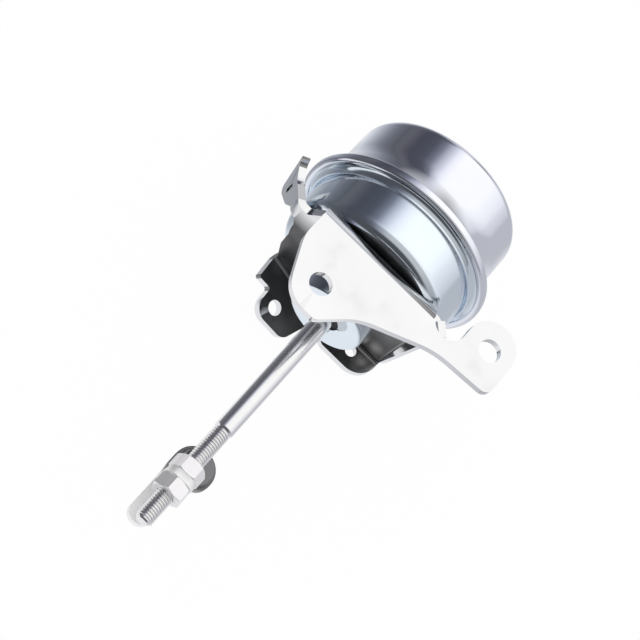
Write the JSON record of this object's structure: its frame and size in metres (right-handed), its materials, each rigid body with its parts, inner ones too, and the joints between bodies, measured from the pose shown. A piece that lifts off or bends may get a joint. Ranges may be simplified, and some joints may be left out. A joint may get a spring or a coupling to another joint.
{
  "type": "turbo actuator",
  "caption": "Diaphragm wastegate actuator: two crimped drawn cans on a bent steel bracket, with a sliding threaded push rod, locking nuts, link and pivot pin.",
  "frame": {"origin": "centre of the main bolt hole, on the bracket's outer mounting face", "axes": "+Y along the push rod from its tip to the cans' closed end, +Z out of the mounting face along the bolt holes, +X from the main bolt hole towards the ear"},
  "size_m": [0.0766, 0.1456, 0.0598],
  "materials": {
    "can_zinc": "bright zinc plate over drawn steel, blue tinged",
    "bracket_steel": "polished stamped sheet steel",
    "rod_steel": "bright drawn rod",
    "nut_steel": "bright plated hexagon nuts",
    "link_steel": "ground steel",
    "pin_steel": "dark polished steel",
    "nipple_zinc": "zinc plated tube",
    "inner_steel": "plain pressed steel",
    "spring_steel": "oiled spring wire",
    "black_rubber": "moulded rubber"
  },
  "bodies": {
    "housing": {"upper_can": "can_zinc", "lower_can": "can_zinc", "mounting_bracket": "bracket_steel", "hose_nipple": "nipple_zinc", "nipple_collar": "nipple_zinc", "diaphragm": "black_rubber", "lower_spring_seat": "inner_steel", "dust_washer": "black_rubber", "return_spring": "spring_steel"},
    "rod": {"piston_cup": "inner_steel", "retainer_plate": "inner_steel", "head_washer": "inner_steel", "bump_stop": "black_rubber", "push_rod": "rod_steel", "upper_spring_seat": "inner_steel", "rod_link": "link_steel", "lock_nut": "nut_steel", "adjuster_nut": "nut_steel"},
    "pin": {"pivot_pin": "pin_steel", "thrust_washer": "link_steel", "pin_clip": "pin_steel"}
  },
  "joints": [
    {"name": "rod_slide", "type": "slide", "parent": "housing", "child": "rod", "axis": [0, -1, 0], "range_m": [0, 0.01], "stiffness_N_per_m": 6000, "springref_m": -0.0125, "deforming": ["return_spring", "diaphragm"]},
    {"name": "pin_turn", "type": "hinge", "parent": "rod", "child": "pin", "pos_m": [0.0096, -0.0481, -0.0292], "axis": [0, 0, 1], "continuous": true}
  ]
}
